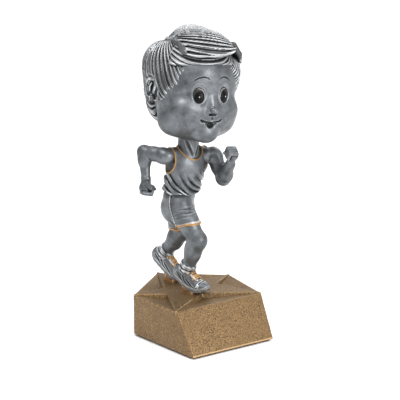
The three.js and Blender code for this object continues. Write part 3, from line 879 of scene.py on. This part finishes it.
def folds(X, Y, Z):
    """Swags that sweep down and round to the hem."""
    lateral = across_waist(X, Y)
    rise = Z - singlet_hem(X, Y)
    swag = lateral - 6.5 * np.exp(-np.clip(rise, 0, None) / 3.4) + 0.38 * rise
    wave = np.abs(np.sin(swag * 0.86 + 0.35 * np.sin(0.7 * swag))) ** 0.75 - 0.55
    extent = step(rise, -0.5, 1.5) * (1 - step(rise, 6.5 + 1.5 * np.sin(0.5 * lateral), 12.5))
    hem = np.exp(-(((rise - 0.5) / 0.6) ** 2))
    return 1.05 * wave * extent + 0.35 * hem


def build_singlet():
    shapes = torso_shapes()
    clay = clay_round(shapes)
    clay.pile(shapes, 1.5)
    surface = clay.d.copy()
    clay.relief(folds)
    clay.harden()
    clay.carve(neckline(), 0.2)
    for hole in armholes():
        clay.carve(hole, 0.2)
    under = np.array(at("shorts", .494, .573, .958)) - [0, 0, 6.2]
    clay.carve(Blob(under, (8.2, 6.9, 6.2), LEGS), 0.2)
    clay.keep(lambda X, Y, Z: singlet_hem(X, Y) - Z, 0.4)
    cast(clay, "singlet_casting", PEWTER, "singlet")

    for name, hole in (("neckline", neckline()), *zip(("right_armhole", "left_armhole"), armholes())):
        piping = clay.twin()
        X, Y, Z = piping.grid()
        edge = hole(X, Y, Z)
        piping.d = np.sqrt((edge - 0.25) ** 2 + (surface - 0.1) ** 2) - 0.37
        cast(piping, name + "_piping", GOLD, name + "_trim", slot="antique_gold")


def build_neck():
    foot, top = points("neck", (.495, .524, .286), (.525, .438, 1.0))
    clay = clay_round(torso_shapes())
    clay.pile(torso_shapes(-0.75), 1.5)
    hollow = neckline(1.0)
    clay.keep(hollow, 0.1)
    column = Tube(foot, top - [0, 0, 0.1], 4.9, 4.5)
    high = Clay(clay.low, clay.high + [0, 0, 6], BODY_STEP)
    high.d[: clay.d.shape[0], : clay.d.shape[1], : clay.d.shape[2]] = clay.d
    high.add(column, 1.3)
    front = TORSO @ np.array([0, -1.0, 0])
    side = TORSO @ np.array([1.0, 0, 0])
    for s in (-1, 1):
        up = top + front * 2.6 + side * s * 4.4 - [0, 0, 1]
        down = foot + front * 5.2 + side * s * 1.0 + [0, 0, 3.2]
        high.carve(Chain([up, lerp(up, down, 0.5) + side * s * 0.2, down], [0.2, 0.32, 0.2]), 0.9)
    high.harden()
    high.carve(Tube(top - [0, 0, 7.4], top + [0, 0, 1], 3.7), 0.1)
    cast(high, "neck_casting", PEWTER, "neck")


def leg_tubes():
    a0, a1, b0, b1 = points("shorts", (.35, .41, .75), (.44, .145, .10), (.61, .722, .696), (.657, .74, .04))
    return Bone(a0, a1, 5.5, 5.35), Bone(b0, b1, 5.4, 5.1)


def shorts_shapes():
    seat, belt = points("shorts", (.471, .608, .607), (.494, .573, .958))
    return [
        Blob(seat, (8.2, 7.4, 8.0), LEGS),
        Blob(belt + [0, 0, 0.4], (7.9, 6.7, 5.2), LEGS),
        *leg_tubes(),
    ]


def ahead(X, Y):
    """How far forward a point lies, as the legs face."""
    return LEGS_SIN * X - LEGS_COS * Y


def hem_height(X, Y):
    """The hem's edge: level round the front of the thigh, with a long flap behind the side slit."""
    f = ahead(X, Y)
    level = 50.7 + 0.2 * np.maximum(f, -5) + 0.25 * np.sin(0.9 * f + 0.4)
    return level - 5.0 * step(-f, 4.6, 6.2)


def stripe_place(X, Y, Z):
    """The side stripe's middle line, as a distance forward or back from it."""
    drop = np.clip((WAIST_Z - Z) / 12.0, 0, 1.2)
    return ahead(X, Y) - (-8.9 + 3.4 * drop**1.5)


def cloth(X, Y, Z):
    """Drag creases over the hip, the side stripe and its stitching."""
    f = ahead(X, Y)
    lateral = LEGS_COS * X + LEGS_SIN * Y
    tugs = sum(np.exp(-(((WAIST_Z - drop - Z + 0.25 * f) / 0.38) ** 2)) for drop in (4.4, 6.3, 7.8))
    tugs = tugs * step(f, -6.5, -3.0) * (1 - step(f, 2.0, 5.5)) * step(-lateral, 0, 2)
    drape = np.cos(f * 0.9 + 0.3 * Z) * step(58 - Z, 0, 6)
    outer = step(-lateral, -1, 1)
    s = stripe_place(X, Y, Z)
    stripe = 0.16 * (np.abs(s) < 0.45) - 0.40 * np.exp(-(((np.abs(s) - 0.85) / 0.28) ** 2))
    return (0.13 * drape - 0.42 * tugs) * (1 - outer * (np.abs(s) < 1.6)) + outer * stripe


def build_shorts():
    shapes = shorts_shapes()
    clay = clay_round(shapes)
    clay.pile(shapes, 2.0)
    surface = clay.d.copy()
    clay.relief(cloth)
    right, left = leg_tubes()

    def beyond(X, Y, Z):
        """Past the hem, or above the waist."""
        return np.maximum((hem_height(X, Y) - Z) * 0.8, Z - WAIST_Z - 2.0)

    clay.keep(beyond, 0.3)
    clay.harden()
    for tube in (right, left):
        clay.carve(Tube(tube.a + (tube.b - tube.a) * 0.45, tube.b, 4.4, tube.rb - 0.8), 0.3)
    cast(clay, "shorts_casting", PEWTER, "shorts")

    X, Y, Z = clay.grid()
    behind = -ahead(X, Y)
    edge = (Z - hem_height(X, Y)) * (1 - 0.55 * step(behind, 4.4, 5.0) * (1 - step(behind, 6.0, 6.6)))
    skin = np.abs(surface + 0.1)
    share = right(X, Y, Z) - left(X, Y, Z)
    for name, other in (("right", share), ("left", -share)):
        hem = clay.twin()
        ring = np.sqrt(skin**2 + np.maximum(np.abs(edge - 0.1) - 0.2, 0) ** 2) - 0.38
        hem.d = np.maximum(ring, other * 0.5 + 0.2).astype(np.float32)
        cast(hem, name + "_hem_casting", GOLD, name + "_hem_trim", slot="antique_gold")


def build_sock(name, joints):
    shin, ankle = joints[2], joints[3]
    a, b = lerp(shin, ankle, 0.52), lerp(shin, ankle, 1.05)
    clay = clay_round([Tube(a, b, 4.4)], grid=0.17)
    n = unit(b - a)
    clay.add(Tube(a, b, 3.35, 3.3))
    clay.add(Tube(a, a + n * 1.5, 3.85, 3.75), 0.4)
    clay.add(Tube(a + n * 2.3, a + n * 3.3, 3.65), 0.7)
    clay.relief(lambda X, Y, Z: 0.08 * np.cos(3.1 * X + 1.7 * Z) * np.cos(2.9 * Y - 1.1 * Z))
    cast(clay, name + "_sock_casting", PEWTER, name + "_sock")


# Each shoe in its own frame: x to the figure's left, y to the heel, z up from the sole's lowest point.
UNDERSIDE = {
    "right": [
        (-9.4, 2.6), (-8.4, 1.3), (-6.6, 0.45), (-4, 0.05), (-1.4, 0.0), (1, 0.5), (3.1, 1.4),
        (5.5, 3.1), (7.8, 4.9), (9.4, 6.6),
    ],
    "left": [
        (-9.4, 1.8), (-8.6, 0.9), (-6.5, 0.0), (-4, 0.3), (-1.8, 0.8), (0.5, 2.0), (2.7, 3.5),
        (5.5, 5.7), (7.8, 7.7), (9.4, 9.5),
    ],
}
PLAN = Chain([(0, -5.4, 0), (0.0, -3.4, 0), (0, 0.8, 0), (0, 6.6, 0)], [3.4, 3.75, 3.1, 3.3])


def plan_distance(X, Y):
    """How far outside the shoe's outline, seen from above."""
    best = None
    for bone in PLAN.bones:
        ba = bone.b - bone.a
        h = np.clip(((X - bone.a[0]) * ba[0] + (Y - bone.a[1]) * ba[1]) / float(ba @ ba), 0, 1)
        d = np.sqrt((X - bone.a[0] - ba[0] * h) ** 2 + (Y - bone.a[1] - ba[1] * h) ** 2)
        d = d - (bone.ra + (bone.rb - bone.ra) * h)
        best = d if best is None else smooth_min(best, d, 0.8)
    return best


def build_shoe(name, joints):
    place = at(name + "_sole", 0.5, 0.5, 0.0)
    in_shoe = {"turn": LEGS, "origin": place}
    ys, zs = zip(*UNDERSIDE[name])
    ankle = LEGS.T @ (joints[3] - place)
    shin = LEGS.T @ (joints[2] - place)

    def ground(Y):
        return np.interp(Y.ravel(), ys, zs).reshape(Y.shape)

    def over(y, lift, x=0.0):
        return np.array([x, y, float(np.interp(y, ys, zs)) + lift])

    sole = Clay((-4.8, -10.4, -0.8), (4.8, 11.0, 12.5), 0.18)
    X, Y, Z = sole.grid()
    plan = plan_distance(X, Y)
    u = ground(Y)
    tread = 0.16 * (0.5 + 0.5 * np.sign(np.cos(Y * 3.2))) * step(plan, -1.2, -0.3)
    groove = 0.14 * np.exp(-(((Z - u - 1.0) / 0.13) ** 2))
    body = smooth_max(plan + groove - 0.05, Z - u - 1.55, 0.25)
    sole.set(smooth_max(body, u + tread - Z, 0.25))
    cast(sole, name + "_sole_casting", DARK_PEWTER, name + "_sole", slot="dark_pewter", **in_shoe)

    shoe = Clay((-5.4, -10.4, -0.8), (5.4, 11.0, 16.0), 0.18)
    X, Y, Z = shoe.grid()
    instep = over(1.2, 5.0)
    shoe.add(Chain([over(6.5, 3.6), instep], [3.3, 2.9]))
    shoe.add(Chain([instep, over(-4.6, 2.6)], [2.7, 2.3]), 0.8)
    shoe.add(Blob(over(-5.3, 2.2), (3.3, 3.7, 2.3)), 1.0)
    shoe.add(Blob(over(-2.6, 2.2), (3.5, 3.6, 2.2)), 1.0)
    shoe.add(Blob(over(6.5, 2.4), (3.25, 3.3, 3.4)), 0.8)
    shoe.add(Bone(over(-2.5, 2.0), over(5.5, 2.0), 3.4), 0.6)
    lean = unit(shin - ankle)
    collar = ankle + lean * 0.2
    shoe.add(Chain([over(6.0, 3.8), collar + [0, 0.4, -0.4]], [3.2, 3.7]), 0.8)
    plan, u = plan_distance(X, Y), ground(Y)
    shoe.d = smooth_max(smooth_max(shoe.d, plan + 0.12, 0.2), u + 1.5 - Z, 0.15).astype(np.float32)
    shoe.carve(Tube(collar + lean * 0.9, collar + lean * 6, 3.0), 0.2)

    def onto(x, y):
        return shoe.hit((x, y, 15.5), (0, 0, -1))

    def flank(s, y, lift):
        return shoe.hit((s * 5.0, y, float(np.interp(y, ys, zs)) + lift), (-s, 0, 0))

    cap = [flank(-1, -4.2, 1.9), onto(-2.2, -5.2), onto(0, -5.7), onto(2.2, -5.2), flank(1, -4.2, 1.9)]
    shoe.carve(Chain(cap, 0.16), 0.3)
    seams = (
        ((-3.0, 1.9), (-0.8, 3.2), (1.5, 4.6)),
        ((0.4, 1.9), (2.3, 3.2), (3.4, 5.0)),
        ((3.4, 1.9), (4.9, 3.4), (6.4, 4.2)),
    )
    for s in (-1, 1):
        for seam in seams:
            shoe.carve(Chain([flank(s, y, lift) for y, lift in seam], 0.17), 0.3)
        shoe.add(Chain([onto(s * 1.5, -3.6), onto(s * 1.7, -1.6), onto(s * 1.8, 0.4)], 0.36), 0.25)
    eyelets = [(-3.5, 1.5), (-2.0, 1.9), (-0.5, 1.8), (0.8, 1.6)]
    rows = [(onto(-w - 0.5, y + 0.3), onto(-0.4, y), onto(w - 0.3, y - 0.2)) for y, w in eyelets]
    # a trough down the tongue, so that the crease darkening falls there as painted shade between the laces
    shoe.carve(Chain([onto(0, -3.2), onto(0, 0.9)], [0.9, 1.1]), 0.25)
    cast(shoe, name + "_shoe_casting", PEWTER, name + "_shoe", **in_shoe)

    lace = Clay((-5, -6, 0), (5, 5, 16), 0.15)
    for i, (left, middle, right) in enumerate(rows):
        bulge = 0.25 * math.sin(2.3 * i + len(name))
        crown = middle + [bulge, 0.2 * bulge, 0.75]
        lace.add(Chain([left + [0, 0, 0.15], crown, right + [0, 0, 0.15]], [0.3, 0.4, 0.3]), 0.1)
        if i:
            before = rows[i - 1]
            crossing = lerp(before[1], middle, 0.55) + [bulge, 0, 0.9]
            for start, side, end in ((before[0], 0.0, right), (before[2], 0.2, left)):
                cross = [start + [0, 0, 0.2], crossing + [side, 0, 0], end + [0, 0, 0.2]]
                lace.add(Chain(cross, [0.27, 0.34, 0.27]), 0.1)
    knot = rows[-1][1] + [0, 0.5, 1.0]
    lace.add(Blob(knot, (0.95, 0.8, 0.75)), 0.2)
    for s in (-1, 1):
        loop = [knot, knot + [s * 1.4, 0.7, 0.7], knot + [s * 2.3, -0.1, -0.1], knot + [s * 1.2, -0.7, -0.2]]
        lace.add(Chain(loop, [0.28, 0.34, 0.34, 0.28]), 0.15)
        end = [knot, knot + [s * 0.9, -1.3, -0.1], knot + [s * 1.7, -2.2, -0.9]]
        lace.add(Chain(end, [0.28, 0.28, 0.24]), 0.15)
    cast(lace, name + "_lace_casting", GOLD, name + "_laces", slot="antique_gold", **in_shoe)


def build_wedge(name):
    a, b = low(name + "_foot_wedge"), high(name + "_foot_wedge")
    centre, half = (a + b) / 2 - np.array([1.3, 0.2, 0]), (b - a) / 2 - np.array([1.1, 0.6, 0])
    clay = Clay(a - 1.5, b + 1.5, 0.2)
    c = LEGS.T

    def block(X, Y, Z):
        x, y = X - centre[0], Y - centre[1]
        u, v = c[0, 0] * x + c[0, 1] * y, c[1, 0] * x + c[1, 1] * y
        lumps = 0.12 * np.sin(2.1 * u + 1.3) * np.sin(1.7 * v) * np.sin(1.9 * Z)
        flare = 0.25 * (b[2] - Z)
        d = smooth_max(np.abs(u) - half[0] * 0.52 - flare, np.abs(v) - half[1] * 0.68 - flare, 0.6)
        return smooth_max(np.maximum(d, a[2] - Z), Z - b[2] - 0.2, 0.5) + lumps

    clay.fill(block)
    # the wedges take the lighter gold copy, a painted reflection rather than a different finish
    cast(clay, name + "_wedge_casting", LIT_GOLD, name + "_foot_wedge", slot="antique_gold")


for label, joints in (("right", RIGHT_LEG), ("left", LEFT_LEG)):
    build_leg(label, joints)
    build_sock(label, joints)
    build_shoe(label, joints)
    build_wedge(label)
build_shorts()
build_singlet()
build_neck()
build_arm("right", RIGHT_ARM)
build_arm("left", LEFT_ARM, 1.15)
build_fist("right", RIGHT_ARM[2], (-0.1, -0.12, -1), (-0.95, 0.3, 0), (0, -1, 0), 1.1)
build_fist("left", LEFT_ARM[2], (-0.15, -0.4, 0.9), (0.95, -0.3, 0), (0, 1, 0.2))


# ---- base -----------------------------------------------------------------------------------
def base_corners():
    """The star's five points, seen from above, front left first."""
    wide, deep, _ = high("base_block")
    near = low("base_star")[1]
    front, side = wide * 0.87, 0.317 * deep
    return [(-front, near), (front, near), (wide, side), (0, deep), (-wide, side)]


def plane_max(planes, k):
    def field(X, Y, Z):
        d = None
        for n, p in planes:
            n = unit(n)
            e = (X - p[0]) * n[0] + (Y - p[1]) * n[1] + (Z - p[2]) * n[2]
            d = e if d is None else smooth_max(d, e, k)
        return d

    return field


def build_base():
    a, b = low("base_block"), high("base_block")
    rise = 1.0   # the cast rim stands a little over the star's nominal top
    top_z = low("base_star")[2] + rise
    star_top = high("base_star")[2] + rise
    corners = base_corners()
    front_foot = a[1]
    planes = [((0, a[2] - star_top, corners[0][1] - front_foot), (0, front_foot, a[2]))]
    foot = b[0] * 0.82
    for s in (-1, 1):
        run = (corners[2][0] - foot, corners[2][1] - front_foot)
        planes.append(((s * run[1], -run[0], 0), (s * foot, front_foot, 0)))
        run = (corners[3][0] - corners[2][0], corners[3][1] - corners[2][1])
        planes.append(((s * run[1], -run[0], 0), (s * corners[2][0], corners[2][1], 0)))
    walls = plane_max(planes, 0.5)

    def solid(X, Y, Z):
        wall = walls(X, Y, Z)
        dished = Z - (star_top - 0.4 + 0.16 * np.minimum(wall, 0))
        return smooth_max(wall, np.maximum(dished, a[2] - Z), 0.4)

    block = Clay(a - 1.2, b + [1.2, 1.2, 2.6], 0.4)
    block.fill(solid)
    cast(block, "base_block_casting", BRONZE, "base_block", slot="antique_bronze")

    star = Clay(np.array([a[0], a[1], top_z - 1.2]) - 1.2, np.array([b[0], b[1], star_top]) + 1.2, 0.3)
    X, Y, Z = star.grid()
    lines = []
    for i in range(5):
        p, q = np.array(corners[i], float), np.array(corners[(i + 2) % 5], float)
        n = unit([q[1] - p[1], p[0] - q[0]])
        middle = np.array([0, 2.0])
        n = n if n @ (middle - p) < 0 else -n
        lines.append((X - p[0]) * n[0] + (Y - p[1]) * n[1] - 0.6 + 0.35 * (Z - top_z))
    ordered = np.sort(np.stack(np.broadcast_arrays(*lines)), axis=0)
    inside = ordered[3]          # a star is where at most one line is crossed
    edge = plane_max(planes, 0.3)(X, Y, Z)
    d = smooth_max(inside, np.maximum(edge, Z - star_top), 0.2)
    star.set(np.maximum(d, top_z - 1.6 - Z))
    cast(star, "base_star_casting", BRONZE, "base_star", slot="antique_bronze")


build_base()


# ---- the rest of the CAD nodes ---------------------------------------------------------------
LOOKS = {
    "antique_pewter": PEWTER, "dark_pewter": DARK_PEWTER, "antique_gold": GOLD,
    "antique_bronze": BRONZE, "steel": STEEL, "black_plastic": PLASTIC, "felt": FELT,
    "eye_black": EYE_BLACK,
}
for part in frame["record"]["subparts"]:
    obj = frame["nodes"][part["node"]]
    obj.data.materials.clear()
    obj.data.materials.append(LOOKS[part["material_slot"]])


# ---- stage, camera and light ------------------------------------------------------------------
MIDDLE = Vector((np.array(cad_box[0]) + np.array(cad_box[1])) / 2)


def build_stage():
    size = 6.0
    mesh = bpy.data.meshes.new("floor")
    corners = [(-size, -size, 0), (size, -size, 0), (size, size, 0), (-size, size, 0)]
    mesh.from_pydata(corners, [], [(0, 1, 2, 3)])
    floor = bpy.data.objects.new("floor", mesh)
    bpy.context.scene.collection.objects.link(floor)
    look = Look("floor_white")
    look.set(Base_Color=(0.93, 0.93, 0.93, 1), Roughness=0.9)
    mesh.materials.append(look.material)


def direction(azimuth, elevation):
    """From the object towards a light or the camera; azimuth 0 is straight in front."""
    a, e = math.radians(azimuth), math.radians(elevation)
    return Vector((math.sin(a) * math.cos(e), -math.cos(a) * math.cos(e), math.sin(e)))


def area_light(name, azimuth, elevation, distance, size, power):
    data = bpy.data.lights.new(name, "AREA")
    data.shape, data.size, data.energy = "DISK", size, power
    light = bpy.data.objects.new(name, data)
    away = direction(azimuth, elevation)
    light.location = MIDDLE + away * distance
    light.rotation_euler = (-away).to_track_quat("-Z", "Y").to_euler()
    bpy.context.scene.collection.objects.link(light)


def build_light():
    world = bpy.data.worlds.new("studio")
    world.use_nodes = True
    background = world.node_tree.nodes["Background"]
    background.inputs["Color"].default_value = (1.0, 1.0, 1.0, 1)
    background.inputs["Strength"].default_value = 0.72
    bpy.context.scene.world = world
    area_light("overhead", 0, 90, 2.0, 3.0, 32)
    area_light("key", -70, 64, 0.60, 0.28, 1.3)
    area_light("front", 12, 18, 0.9, 0.5, 4.7)
    area_light("rim", 120, 35, 0.6, 0.3, 1.0)


CAMERA = {"azimuth": -34.253, "elevation": 15.495, "distance": 0.7, "lens": 143.6}
AIM_OFF = {"right": 0.0024976, "down": 0.0089648}   # from the middle of the object


def build_camera():
    data = bpy.data.cameras.new("camera")
    data.lens, data.sensor_width = CAMERA["lens"], 36
    data.clip_start, data.clip_end = 0.01, 20
    camera = bpy.data.objects.new("camera", data)
    back = direction(CAMERA["azimuth"], CAMERA["elevation"])
    right = Vector((-back.y, back.x, 0)).normalized()
    aim = MIDDLE + right * AIM_OFF["right"] - Vector((0, 0, AIM_OFF["down"]))
    camera.location = aim + back * CAMERA["distance"]
    camera.rotation_euler = (-back).to_track_quat("-Z", "Y").to_euler()
    bpy.context.scene.collection.objects.link(camera)
    bpy.context.scene.camera = camera


build_stage()
build_light()
build_camera()
bpy.context.scene.view_settings.view_transform = "Standard"
